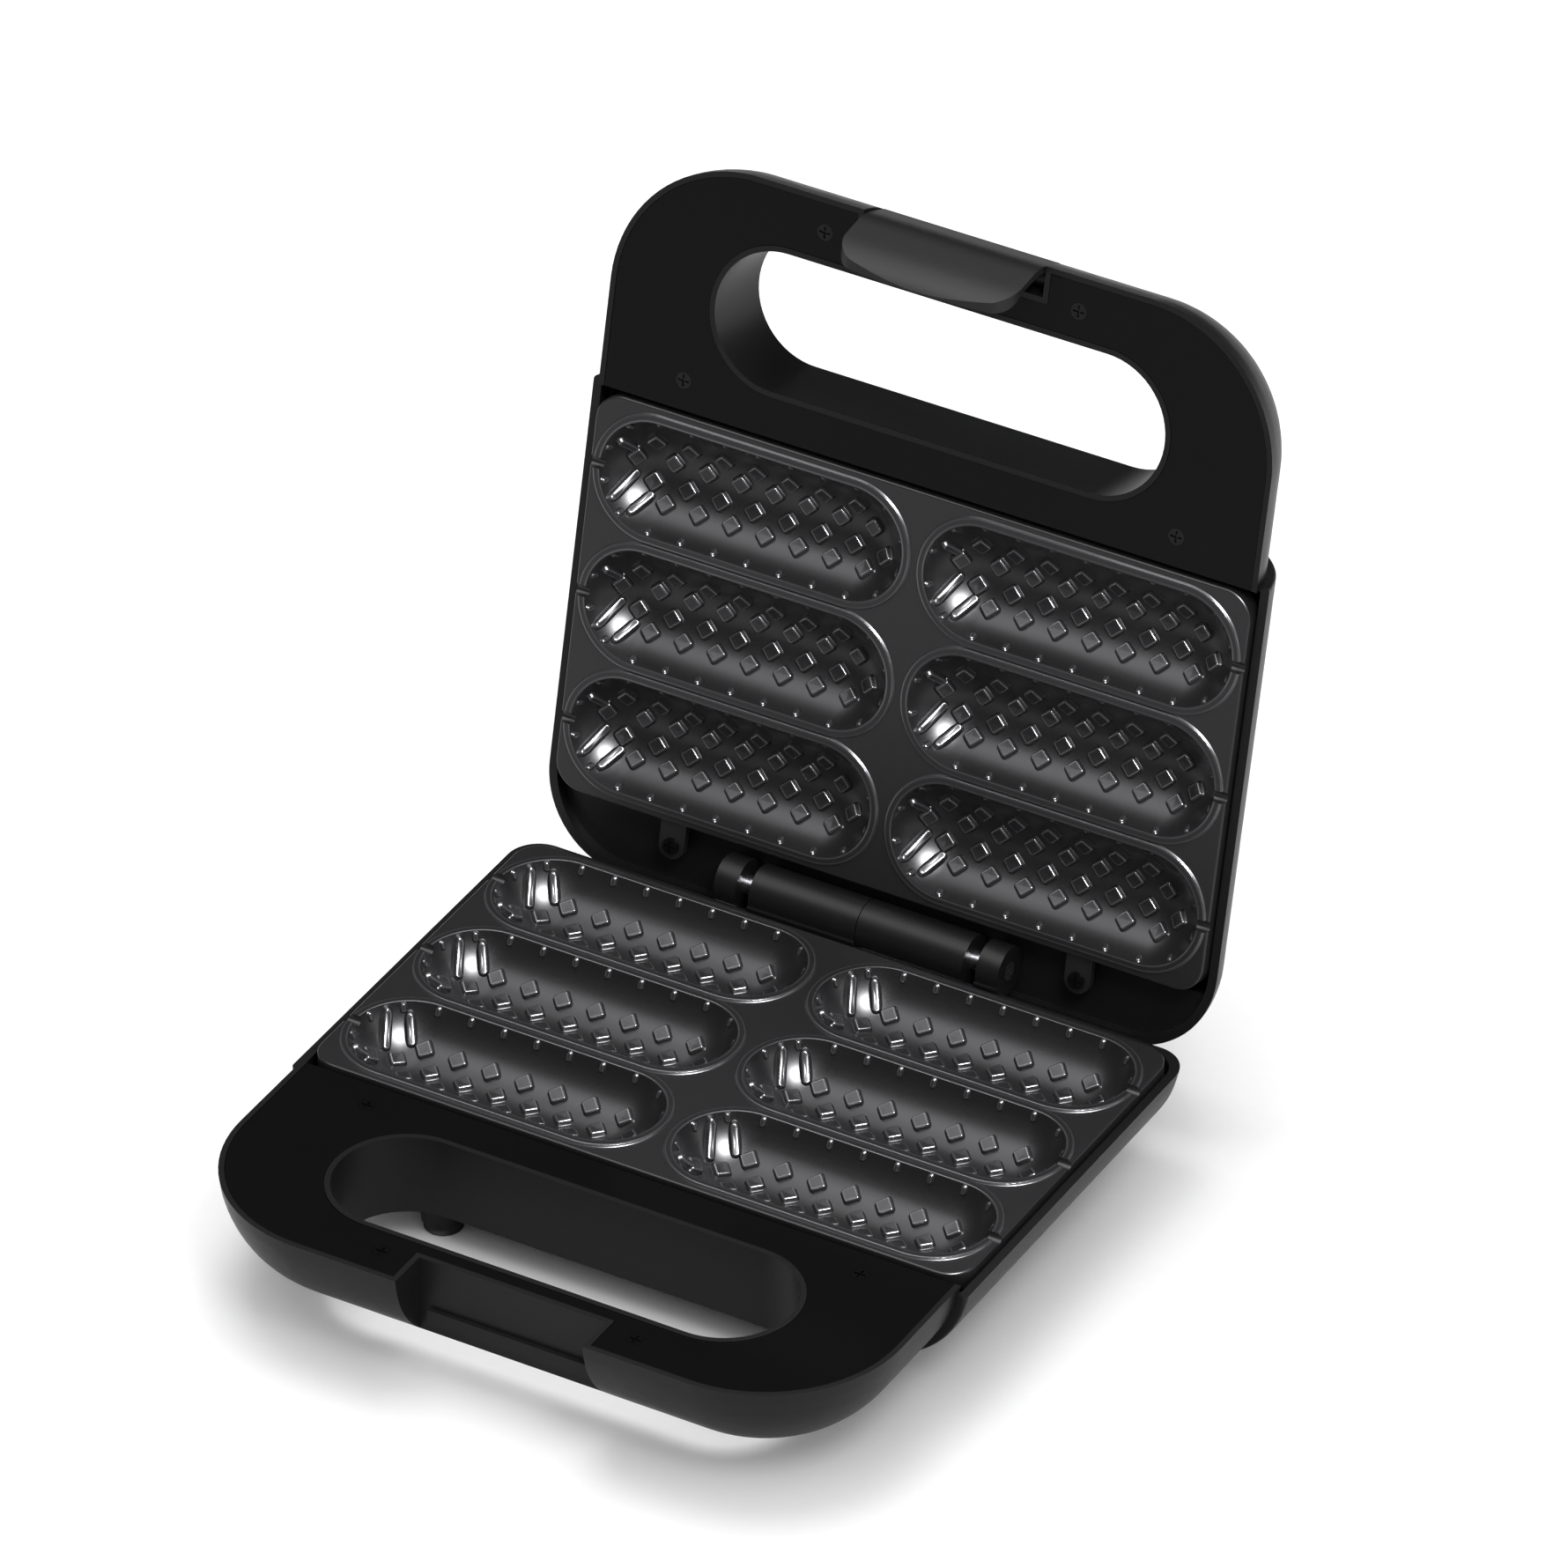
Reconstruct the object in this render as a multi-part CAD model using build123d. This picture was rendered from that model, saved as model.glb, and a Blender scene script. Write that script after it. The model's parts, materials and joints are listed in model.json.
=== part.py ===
from build123d import *
import os
from math import cos, radians, sin, sqrt

# Hinged two-plate maker for waffles on a stick, lid open. Everything is designed with the
# lid closed and the parting plane at z = 0, x to the right, y towards the hinge. The lid is
# then swung open about the hinge, and the whole is moved onto its feet.

# Cooking plates
PLATE_X = 226.0
PLATE_Y = 131.6
PLATE_CORNER = 9.0
PLATE_SKIN = 2.6
FLANGE_H = 6.0
FLANGE_WALL = 2.4
PART_GAP = 0.3
BEAD_H = 0.7
PLATE_REAR = PLATE_Y / 2
PLATE_FRONT = -PLATE_REAR

# Cavities: capsules cut by the parting plane
CAVITY_HALF_Y = 18.4
CAVITY_DEPTH = 14.0
CAVITY_WALL = 2.4
COLUMN_PITCH = PLATE_X / 2 + 0.2
CAVITY_LEN = COLUMN_PITCH - 7.8
ROW_PITCH = (PLATE_Y - 3.8) / 3
STICK_R = 1.8
STICK_DROP = 0.5
STICK_RUN = 12.0

# Housing, shared by the two halves
TUB_HALF_X = PLATE_X / 2 + 4.0
HANDLE_HALF_X = TUB_HALF_X - 3.4
HANDLE_FRONT = PLATE_FRONT - 82.7
HANDLE_TOP = 1.5
HANDLE_DEPTH = 29.0
HANDLE_CORNER = 46.0
TUB_FRONT = PLATE_FRONT - 3.2
TUB_TOP = 4.0
TUB_DEPTH = 33.0
TUB_CORNER = 12.0
SIDE_ARC = 38.0
SIDE_START = 5.0
WALL = 2.4
RIM_W = 1.8
LOWER_REAR = PLATE_REAR + 4.7
LOWER_REAR_CORNER = 11.0
UPPER_REAR = PLATE_REAR + 24.2
UPPER_REAR_CORNER = 30.0
PLATE_GAP = 0.8

# Handle opening and the panel round it
HOLE_HALF_LEN = 77.3
HOLE_R = 22.5
HOLE_Y = PLATE_FRONT - 38.8
PANEL_T = 2.0
PANEL_DROP = 0.2
PANEL_REAR = PLATE_FRONT - 1.5
PANEL_FIT = 0.15

# Screws
SCREW_HEAD_R = 2.7
SCREW_HEAD_H = 1.1
SCREW_ARM = 1.9
SCREW_SLOT = 0.35
SCREW_R = 1.4
SCREW_FIT = 0.1
BOSS_R = 3.3
PANEL_SCREWS = tuple(
    (side * x, HANDLE_FRONT + y) for x, y in ((85.0, 71.7), (43.5, 11.1)) for side in (-1, 1)
)
PANEL_SCREW_LEN = 9.0
POST_X = COLUMN_PITCH / 2
POST_R = 4.2
POST_SCREW_LEN = 12.0
LUG_X = 71.0
LUG_Y = PLATE_REAR + 8.4
LUG_R = 4.4

# Latch recess in the lower handle and latch on the lid
RECESS_HALF_X = 32.0
RECESS_REAR = HANDLE_FRONT + 13.8
CATCH_LEFT = -28.5
CATCH_FRONT = HANDLE_FRONT + 12.2
CATCH_TOP = 18.6
CATCH_BOTTOM = 23.8
LATCH_HALF_X = 30.2
LATCH_T = 2.2
LATCH_TOP = 12.6
LATCH_FACE = tuple((HANDLE_FRONT + y, z) for y, z in (
    (2.6, LATCH_TOP), (1.1, 5.0), (0.7, -1.0), (2.0, -6.0),
    (3.7, -11.0), (5.5, -15.2), (8.1, -18.6), (11.3, -20.8),
))
LATCH_BEND_Z = -12.0
LATCH_CORNER = 8.0
LATCH_SIDE_END = -17.4
LATCH_MID_END = -20.6
LATCH_PIN_R = 1.5
LATCH_PIN_Y = HANDLE_FRONT + 6.3
LATCH_PIN_Z = 9.0
LATCH_BARREL_R = 3.2
LATCH_FIT = 0.05
NOTCH_HALF_X = 31.2
NOTCH_REAR = HANDLE_FRONT + 10.1
NOTCH_TOP = 15.2
SPRING_HALF_X = 6.0
SPRING_COIL_R = 2.0
SPRING_WIRE_R = 0.3
SPRING_ROOM = 0.3
SPRING_TURNS = 7
SPRING_LEG = 4.5

# Hinge: a long and a short knuckle on each half, mirrored left to right
HINGE_Y = PLATE_REAR + 11.3
KNUCKLE_R = 8.0
KNUCKLE_GAP = 0.3
LONG_END = 37.4
SHORT_START = 42.0
SHORT_END = 49.6
HINGE_PIN_R = 3.0
HINGE_FIT = 0.05
BASE_WEB = (LOWER_REAR - WALL, HINGE_Y, -KNUCKLE_R, -1.6)
LID_WEB = (HINGE_Y - 5.0, HINGE_Y + 5.0, -9.0, 0.0)
SHELF_FRONT = PLATE_REAR + 2.0
SHELF_Z = 8.0
LID_OPEN = 102.9

# Legs and feet
FOOT_BOTTOM = 40.0
FOOT_R = 6.2
FOOT_H = 3.0
FOOT_ROUND = 0.8
LEG_LOW_R = 6.8
LEG_HIGH_R = 8.6
LEG_TOP = 18.0
FRONT_LEG = (61.0, PLATE_FRONT - 7.2)
REAR_LEG = (78.0, PLATE_REAR - 9.8)

# Heater and what sits under each plate
HEATER_R = 3.2
HEATER_Z = 24.4
HEATER_BEND_X = -62.0
HEATER_END_X = 90.0
HEATER_PIN_R = 1.1
HEATER_PIN_LEN = 6.0
PAD_X = (20.0, 60.0)
PAD_HALF_Y = 4.4
PAD_DEPTH = 23.4
REFLECTOR_T = 0.6
REFLECTOR_HALF_X = 88.0
REFLECTOR_Y = (-52.0, 28.0)
REFLECTOR_HOLE_R = 5.4
THERMOSTAT_R = 7.5
THERMOSTAT_TOP = 12.4
THERMOSTAT_H = 6.5
THERMOSTAT_STEP = 1.0
FUSE_X = (-43.0, -17.0)
FUSE_R = 2.6
BLOCK = (26.0, 13.0, 8.0)
BLOCK_Y = 38.0
BLOCK_WELLS = (-8.0, 0.0, 8.0)
WELL_R = 2.0
WELL_DEPTH = 3.0
WIRE_R = 0.9
WIRE_GAP = 0.07

# Leads: the straight run off a heater's pin, then the places where each one bends
LEAD_REACH = 3.0
HEATER_Y = ROW_PITCH / 2
DISC_LEAD_Z = -THERMOSTAT_TOP - THERMOSTAT_H + 2 * WIRE_R
BLOCK_LEAD = ((96.0, BLOCK_Y - 6.0), (30.0, BLOCK_Y - 5.0), (20.0, BLOCK_Y))
DISC_LEAD = ((80.0, -10.0, -HEATER_Z), (24.0, -10.0, 2.0 - HEATER_Z), (14.0, 0.0, DISC_LEAD_Z))
VALLEY_LEAD = ((0.0, HEATER_Y - 5.0, -18.6), (0.0, HEATER_Y + 4.0, -18.8))
LID_LEADS = (
    ((92.0, 40.0, -22.0), (54.0, LUG_Y - 4.2, -18.0), (54.0, LUG_Y - 2.2, -14.0)),
    ((100.0, 0.0, -22.0), (99.0, 30.0, -20.0), (66.0, LUG_Y - 2.2, -18.0), (66.0, LUG_Y - 0.2, -14.0)),
)

# Cord inlet: a boss on the rear wall, a bush in it and a clamp block behind
CORD_X = 62.0
CORD_Z = 15.0
CORD_R = 3.4
BUSH_R = 5.2
BUSH_FLANGE_R = 7.0
BUSH_FLANGE_T = 1.6
INLET_R = 7.6
INLET_Y = (LOWER_REAR - 9.0, LOWER_REAR - 1.0)
CLAMP_Y = (40.5, 46.5)
CLAMP_Z = 22.0
CLAMP_HALF_X = 9.0

# Indicator lamps in the lid's top
LAMP_X = 12.0
LAMP_Y = PLATE_FRONT + 5.8
LENS_R = 4.0
LENS_PROUD = 0.8
LAMP_R = 2.4
LAMP_H = 6.0

# From the hinge frame to the frame of the finished part
MOVE_Y = -1.87

SECTION_STEPS = 5
CUT = 200.0


def tilt(depth):
    """Slope of the curved side wall from upright, at a depth below the rim."""
    return (depth / SIDE_ARC) + sin(radians(SIDE_START))


def inset(depth):
    """How far the curved side wall has come inwards at a depth below the rim."""
    return SIDE_ARC * (cos(radians(SIDE_START)) - sqrt(1 - tilt(depth) ** 2))


def outline(half_x, front, rear, front_r, rear_r):
    """Plan of a housing: a rectangle with one radius in front and one at the rear."""
    corners = ((-half_x, front), (half_x, front), (half_x, rear), (-half_x, rear))
    plan = make_face(Polyline(*corners, close=True))
    plan = fillet(plan.vertices().sort_by(Axis.Y)[:2], front_r)
    return fillet(plan.vertices().sort_by(Axis.Y)[-2:], rear_r)


def box(x0, x1, y0, y1, z0, z1):
    """A block given by its low and high faces."""
    centre = Pos((x0 + x1) / 2, (y0 + y1) / 2, (z0 + z1) / 2)
    return centre * Box(x1 - x0, y1 - y0, z1 - z0)


def rod(x, y, z_low, z_high, radius):
    """An upright cylinder."""
    return Pos(x, y, (z_low + z_high) / 2) * Cylinder(radius, z_high - z_low)


def rod_x(x0, x1, y, z, radius):
    """A cylinder along x."""
    return Pos((x0 + x1) / 2, y, z) * Rot(0, 90, 0) * Cylinder(radius, x1 - x0)


def pod(top, bottom, wall, half_x, front, rear, front_r, rear_r, front_slope):
    """A housing's outer or inner body: outlines that draw in with depth, lofted."""
    sections = []
    for step in range(SECTION_STEPS):
        z = top + (bottom - top) * step / (SECTION_STEPS - 1)
        depth = z - HANDLE_TOP
        side = inset(depth) + wall / sqrt(1 - tilt(depth) ** 2)
        ahead = side if front_slope else wall
        plan = outline(
            half_x - side,
            front + ahead,
            rear - side,
            max(front_r - side, front_r / 2),
            max(rear_r - side, rear_r / 2),
        )
        sections.append(Pos(0, 0, -z) * plan)
    return loft(sections)


def handle_pod(top, bottom, wall):
    """Handle part of a housing, reaching back into the tub."""
    rear = TUB_FRONT + TUB_CORNER
    return pod(top, bottom, wall, HANDLE_HALF_X, HANDLE_FRONT, rear, HANDLE_CORNER, 2.0, True)


def tub_pod(top, bottom, wall, rear, rear_corner):
    """Rear part of a housing, under the cooking plate."""
    return pod(top, bottom, wall, TUB_HALF_X, TUB_FRONT, rear, 2.0, rear_corner, False)


def hole_plan(margin):
    """Plan of the handle opening, a slot with round ends, grown by a margin."""
    return Pos(0, HOLE_Y) * SlotOverall(2 * (HOLE_HALF_LEN + margin), 2 * (HOLE_R + margin))


def housing(rear, rear_corner):
    """One half of the housing, open side up, without its hinge, latch and legs."""
    outer = handle_pod(HANDLE_TOP, HANDLE_DEPTH, 0) + tub_pod(TUB_TOP, TUB_DEPTH, 0, rear, rear_corner)
    seat = HANDLE_TOP + PANEL_DROP + PANEL_T
    shell = outer - handle_pod(seat, HANDLE_DEPTH - WALL, WALL)
    shell -= tub_pod(TUB_TOP + FLANGE_H, TUB_DEPTH - WALL, WALL, rear, rear_corner)
    shell -= plate_pocket(rear, rear_corner)
    shell += extrude(Pos(0, 0, -HANDLE_DEPTH) * hole_plan(WALL), HANDLE_DEPTH - HANDLE_TOP)
    bosses = [rod(x, y, -HANDLE_DEPTH, -seat, BOSS_R) for x, y in PANEL_SCREWS]
    shell += [boss & outer for boss in bosses]
    shell -= extrude(Pos(0, 0, -seat) * panel_plan(0), seat)
    shell -= extrude(Pos(0, 0, -CUT / 2) * hole_plan(0), CUT)
    return shell - [rod(x, y, -seat - PANEL_SCREW_LEN, 0, SCREW_R) for x, y in PANEL_SCREWS]


def plate_pocket(rear, rear_corner):
    """Straight-sided pocket in the tub that the cooking plate drops into."""
    half_x = PLATE_X / 2 + PLATE_GAP
    rim = TUB_HALF_X - half_x
    corner = max(rear_corner - rim, PLATE_CORNER)
    plan = outline(half_x, PANEL_REAR, rear - rim, PLATE_GAP, corner)
    return extrude(Pos(0, 0, -TUB_TOP - FLANGE_H) * plan, TUB_TOP + FLANGE_H)


def panel_plan(shrink):
    """Plan of the handle's inset panel, shrunk by a fit all round."""
    half_x = HANDLE_HALF_X - RIM_W - shrink
    corner = HANDLE_CORNER - RIM_W - shrink
    plan = outline(half_x, HANDLE_FRONT + RIM_W + shrink, PANEL_REAR, corner, PANEL_FIT)
    return plan - hole_plan(RIM_W + shrink)


def handle_panel(notch_half_x, notch_rear):
    """Gloss panel that closes the handle, notched at the front round the latch."""
    top = HANDLE_TOP + PANEL_DROP
    panel = extrude(Pos(0, 0, -top - PANEL_T) * panel_plan(PANEL_FIT), PANEL_T)
    half_x = notch_half_x + RIM_W + PANEL_FIT
    panel -= box(-half_x, half_x, -CUT, notch_rear + RIM_W + PANEL_FIT, -CUT, CUT)
    for x, y in PANEL_SCREWS:
        panel -= rod(x, y, -top - SCREW_HEAD_H, 0, SCREW_HEAD_R + SCREW_FIT)
        panel -= rod(x, y, -CUT, 0, SCREW_R)
    return panel


def screw(length):
    """Cross-recess screw, its head's face at the origin and its shank running down."""
    head = rod(0, 0, -SCREW_HEAD_H, 0, SCREW_HEAD_R)
    for half_x, half_y in ((SCREW_ARM, SCREW_SLOT), (SCREW_SLOT, SCREW_ARM)):
        head -= box(-half_x, half_x, -half_y, half_y, -SCREW_HEAD_H / 2, 0)
    return head + rod(0, 0, -length, -SCREW_HEAD_H, SCREW_R - SCREW_FIT)


def panel_screws():
    """The four screws through a handle panel."""
    return [Pos(x, y, -HANDLE_TOP - PANEL_DROP) * screw(PANEL_SCREW_LEN) for x, y in PANEL_SCREWS]


def lug_screws():
    """Screws through the upper plate's lugs."""
    top = -TUB_TOP + WALL / 2 + SCREW_HEAD_H
    return [Pos(x, LUG_Y, top) * screw(PANEL_SCREW_LEN) for x in (-LUG_X, LUG_X)]


def post_screws():
    """Screws up through the base's floor into the lower plate's posts."""
    upside_down = Rot(180, 0, 0) * screw(POST_SCREW_LEN)
    return [Pos(x, 0, -TUB_DEPTH) * upside_down for x in (-POST_X, POST_X)]


def cavity_rise():
    """Height of the cavity's own axis above the parting plane."""
    return (CAVITY_HALF_Y ** 2 - CAVITY_DEPTH ** 2) / (2 * CAVITY_DEPTH)


def cup(wall, z_top):
    """Capsule lying along x, grown by a wall and cut off at a height."""
    half = CAVITY_LEN / 2 - CAVITY_HALF_Y
    radius = cavity_rise() + CAVITY_DEPTH + wall
    ends = [CenterArc((side * half, 0), radius, start, 90) for side, start in ((1, 0), (-1, 90))]
    top = Line((half, radius), (-half, radius))
    axis = Line((-half - radius, 0), (half + radius, 0))
    body = revolve(Plane.XZ * make_face([ends[0], top, ends[1], axis]), Axis.X)
    return (Pos(0, 0, cavity_rise()) * body) & box(-CUT, CUT, -CUT, CUT, -CUT, z_top)


def cavity_centres():
    """Centres of the six cavities: two columns of three rows."""
    return [(side * COLUMN_PITCH / 2, row * ROW_PITCH) for side in (-1, 1) for row in (-1, 0, 1)]


def plate_skin():
    """The plate's flat top with the flange that hangs from its edge."""
    land = -PART_GAP / 2 - BEAD_H
    half_x, half_y = PLATE_X / 2, PLATE_Y / 2
    foot = Pos(0, 0, land - FLANGE_H)
    skin = extrude(foot * outline(half_x, -half_y, half_y, PLATE_CORNER, PLATE_CORNER), FLANGE_H)
    skin = fillet(skin.edges().group_by(Axis.Z)[-1], BEAD_H)
    corner = PLATE_CORNER - FLANGE_WALL
    half_x, half_y = half_x - FLANGE_WALL, half_y - FLANGE_WALL
    hollow = outline(half_x, -half_y, half_y, corner, corner)
    return skin - extrude(foot * hollow, FLANGE_H - PLATE_SKIN)


def stick_groove(x, y):
    """Round-bottomed groove from a cavity's outer end to the plate's edge."""
    low, high = sorted((x, x + STICK_RUN * (1 if x > 0 else -1)))
    groove = rod_x(low, high, y, -STICK_DROP, STICK_R)
    return groove + box(low, high, y - STICK_R, y + STICK_R, -STICK_DROP, STICK_R)


def heater_pads():
    """Blocks in the valleys between cups that carry the heater."""
    places = [(side, row * ROW_PITCH / 2) for side in (-1, 1) for row in (-1, 1)]
    pads = []
    for side, y in places:
        low, high = sorted((side * PAD_X[0], side * PAD_X[1]))
        pads.append(box(low, high, y - PAD_HALF_Y, y + PAD_HALF_Y, -PAD_DEPTH, -PLATE_SKIN))
    return pads


def cooking_plate():
    """Cast plate: flanged skin, six cups with a bead round each, pads, posts, stick grooves."""
    floor = -TUB_DEPTH + WALL
    cup_outside = cup(CAVITY_WALL, -PART_GAP / 2)
    post_top = -CAVITY_DEPTH - CAVITY_WALL / 2
    posts = [rod(x, 0, floor, post_top, POST_R) for x in (-POST_X, POST_X)]
    boss = rod(0, 0, -THERMOSTAT_TOP, -PLATE_SKIN, THERMOSTAT_R - WALL)
    plate = plate_skin() + [Pos(x, y, 0) * cup_outside for x, y in cavity_centres()]
    plate = plate + heater_pads() + posts + [boss] - heater()
    cavity = cup(0, CAVITY_DEPTH / 2)
    plate -= [Pos(x, y, 0) * cavity for x, y in cavity_centres()]
    tip = (COLUMN_PITCH + CAVITY_LEN) / 2 - CAVITY_WALL
    plate -= [stick_groove(side * tip, row * ROW_PITCH) for side in (-1, 1) for row in (-1, 0, 1)]
    bore_top = -TUB_DEPTH + POST_SCREW_LEN + SCREW_HEAD_H
    return plate - [rod(x, 0, -CUT, bore_top, SCREW_R) for x in (-POST_X, POST_X)]


def upper_plate():
    """Upper plate with two lugs at the rear for the lid's screws."""
    plate = cooking_plate()
    low, high = -TUB_TOP - WALL / 2, -TUB_TOP + WALL / 2
    for x in (-LUG_X, LUG_X):
        plate += box(x - LUG_R, x + LUG_R, PLATE_Y / 2 - FLANGE_WALL / 2, LUG_Y, low, high)
        plate += rod(x, LUG_Y, low, high, LUG_R)
        plate -= rod(x, LUG_Y, low, high, SCREW_R)
    return plate


def heater():
    """Tubular heater bent to a U, with a terminal pin at each end."""
    y = HEATER_Y
    bend = CenterArc((HEATER_BEND_X, 0), y, 90, 180)
    legs = [Line((HEATER_END_X, y), (HEATER_BEND_X, y)), Line((HEATER_BEND_X, -y), (HEATER_END_X, -y))]
    path = Pos(0, 0, -HEATER_Z) * Wire([legs[0], bend, legs[1]])
    start = Plane(origin=(HEATER_END_X, y, -HEATER_Z), z_dir=(-1, 0, 0))
    element = sweep(start * Circle(HEATER_R), path)
    pin_end = HEATER_END_X + HEATER_PIN_LEN
    return element + [rod_x(HEATER_END_X, pin_end, s * y, -HEATER_Z, HEATER_PIN_R) for s in (-1, 1)]


def reflector():
    """Bright sheet on the floor under the heater, with holes for the plate's posts."""
    floor = -TUB_DEPTH + WALL
    half_x = REFLECTOR_HALF_X
    sheet = box(-half_x, half_x, *REFLECTOR_Y, floor, floor + REFLECTOR_T)
    return sheet - [rod(x, 0, -CUT, 0, REFLECTOR_HOLE_R) for x in (-POST_X, POST_X)]


def thermostat():
    """Disc thermostat against the boss in the middle of the lower plate."""
    bottom = -THERMOSTAT_TOP - THERMOSTAT_H
    step = -THERMOSTAT_TOP - THERMOSTAT_H / 3
    disc = rod(0, 0, step, -THERMOSTAT_TOP, THERMOSTAT_R)
    return disc + rod(0, 0, bottom, step, THERMOSTAT_R - THERMOSTAT_STEP)


def thermal_fuse():
    """Ceramic fuse body with a flat foot on the floor."""
    floor = -TUB_DEPTH + WALL
    body = rod_x(*FUSE_X, BLOCK_Y, floor + FUSE_R, FUSE_R)
    return body + box(*FUSE_X, BLOCK_Y - FUSE_R, BLOCK_Y + FUSE_R, floor, floor + FUSE_R)


def terminal_block():
    """Terminal block on the floor with a well over each clamp."""
    floor = -TUB_DEPTH + WALL
    length, width, height = BLOCK
    block = Pos(0, BLOCK_Y, floor + height / 2) * Box(length, width, height)
    block = fillet(block.edges().filter_by(Axis.Z), 1)
    top = floor + height
    return block - [rod(x, BLOCK_Y, top - WELL_DEPTH, top, WELL_R) for x in BLOCK_WELLS]


def wire(*points):
    """A sleeved lead: straight runs between points with a ball at each bend."""
    ends = [Vector(*point) for point in points]
    lead = Part()
    for start, end in zip(ends, ends[1:]):
        lead += extrude(Plane(origin=start, z_dir=end - start) * Circle(WIRE_R), (end - start).length)
    return lead + [Pos(*point) * Sphere(WIRE_R) for point in points[1:-1]]


def lower_wiring():
    """Leads from the heater to the thermostat, the terminal block and the fuse."""
    y, z = HEATER_Y, -HEATER_Z
    pin = HEATER_END_X + HEATER_PIN_LEN
    bend = pin + LEAD_REACH
    low = -TUB_DEPTH + WALL + FUSE_R + WIRE_R
    block_x, block_front = BLOCK[0] / 2, BLOCK_Y - BLOCK[1] / 2
    disc = THERMOSTAT_R - THERMOSTAT_STEP + WIRE_GAP
    along_floor = [(x, y, low) for x, y in BLOCK_LEAD]
    return [
        wire((pin, y, z), (bend, y, z), *along_floor, (block_x, BLOCK_Y, low)),
        wire((pin, -y, z), (bend, -y, z), *DISC_LEAD, (disc, 0, DISC_LEAD_Z)),
        wire((0, disc, DISC_LEAD_Z), *VALLEY_LEAD, (0, block_front - LEAD_REACH, low), (0, block_front, low)),
        wire((-block_x, BLOCK_Y, low), (FUSE_X[1], BLOCK_Y, low)),
    ]


def upper_wiring():
    """Leads from the two ends of the lid's heater to the shelf over the hinge."""
    pin = HEATER_END_X + HEATER_PIN_LEN
    shelf = -SHELF_Z - WALL
    leads = []
    for side, bends in zip((1, -1), LID_LEADS):
        ends = [(x, side * HEATER_Y, -HEATER_Z) for x in (pin, pin + LEAD_REACH)]
        leads.append(wire(*ends, *bends, (*bends[-1][:2], shelf)))
    return leads


def knuckles(mirror_x, web):
    """A half's long and short hinge barrels, each with the web that ties it on."""
    parts = []
    for x0, x1 in ((KNUCKLE_GAP / 2, LONG_END), (-SHORT_END, -SHORT_START)):
        low, high = sorted((x0 * mirror_x, x1 * mirror_x))
        parts.append(rod_x(low, high, HINGE_Y, 0, KNUCKLE_R))
        parts.append(box(low, high, *web))
    return parts


def knuckle_room(mirror_x):
    """Room for the other half's barrels."""
    rooms = []
    for x0, x1 in ((KNUCKLE_GAP / 2, LONG_END), (-SHORT_END, -SHORT_START)):
        low, high = sorted((x0 * mirror_x, x1 * mirror_x))
        radius = KNUCKLE_R + KNUCKLE_GAP
        rooms.append(rod_x(low - KNUCKLE_GAP, high + KNUCKLE_GAP, HINGE_Y, 0, radius))
    return rooms


def hinge_bore():
    """The bore through all the knuckles."""
    return rod_x(-SHORT_END - 1, SHORT_END + 1, HINGE_Y, 0, HINGE_PIN_R + HINGE_FIT)


def hinge_pin():
    """Steel rod through all four knuckles."""
    return rod_x(-SHORT_END, SHORT_END, HINGE_Y, 0, HINGE_PIN_R)


def leg_places():
    """Plan positions of the four legs."""
    return [(side * x, y) for x, y in (FRONT_LEG, REAR_LEG) for side in (-1, 1)]


def legs():
    """Moulded legs under the base, tapering to their rubber feet."""
    low, high = -FOOT_BOTTOM + FOOT_H, -LEG_TOP
    cone = Pos(0, 0, (low + high) / 2) * Cone(LEG_LOW_R, LEG_HIGH_R, high - low)
    return [Pos(x, y, 0) * cone for x, y in leg_places()]


def rubber_feet():
    """Rubber disc under each leg."""
    foot = rod(0, 0, -FOOT_BOTTOM, -FOOT_BOTTOM + FOOT_H, FOOT_R)
    foot = fillet(foot.edges().group_by(Axis.Z)[0], FOOT_ROUND)
    return [Pos(x, y, 0) * foot for x, y in leg_places()]


def front_pocket(half_x, rear, depth):
    """Walls that line a pocket in the front of a handle, and the space inside them."""
    outer = handle_pod(HANDLE_TOP, HANDLE_DEPTH, 0)
    low = max(-depth - RIM_W, -HANDLE_DEPTH)
    liner = box(-half_x - RIM_W, half_x + RIM_W, -CUT, rear + RIM_W, low, -HANDLE_TOP)
    return liner & outer, box(-half_x, half_x, -CUT, rear, -depth, 0)


def inlet():
    """Cord inlet: the boss on the rear wall and the hole through it."""
    y_mid, length = sum(INLET_Y) / 2, INLET_Y[1] - INLET_Y[0]
    place = Pos(CORD_X, y_mid, -CORD_Z) * Rot(90, 0, 0)
    return place * Cylinder(INLET_R, length), place * Cylinder(BUSH_R, length * 2)


def cord_bush():
    """Rubber bush in the cord inlet, open where the cord would pass."""
    y_mid, length = sum(INLET_Y) / 2, INLET_Y[1] - INLET_Y[0]
    body = Pos(CORD_X, y_mid, -CORD_Z) * Rot(90, 0, 0) * Cylinder(BUSH_R, length)
    flange_y = INLET_Y[1] + BUSH_FLANGE_T / 2
    flange = Pos(CORD_X, flange_y, -CORD_Z) * Rot(90, 0, 0) * Cylinder(BUSH_FLANGE_R, BUSH_FLANGE_T)
    return body + flange - Pos(CORD_X, y_mid, -CORD_Z) * Rot(90, 0, 0) * Cylinder(CORD_R, CUT)


def cord_clamp():
    """Clamp block on the floor behind the bush, grooved for the cord."""
    floor = -TUB_DEPTH + WALL
    block = box(CORD_X - CLAMP_HALF_X, CORD_X + CLAMP_HALF_X, *CLAMP_Y, floor, -CLAMP_Z)
    return block - Pos(CORD_X, 0, -CLAMP_Z) * Rot(90, 0, 0) * Cylinder(CORD_R, CUT)


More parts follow.
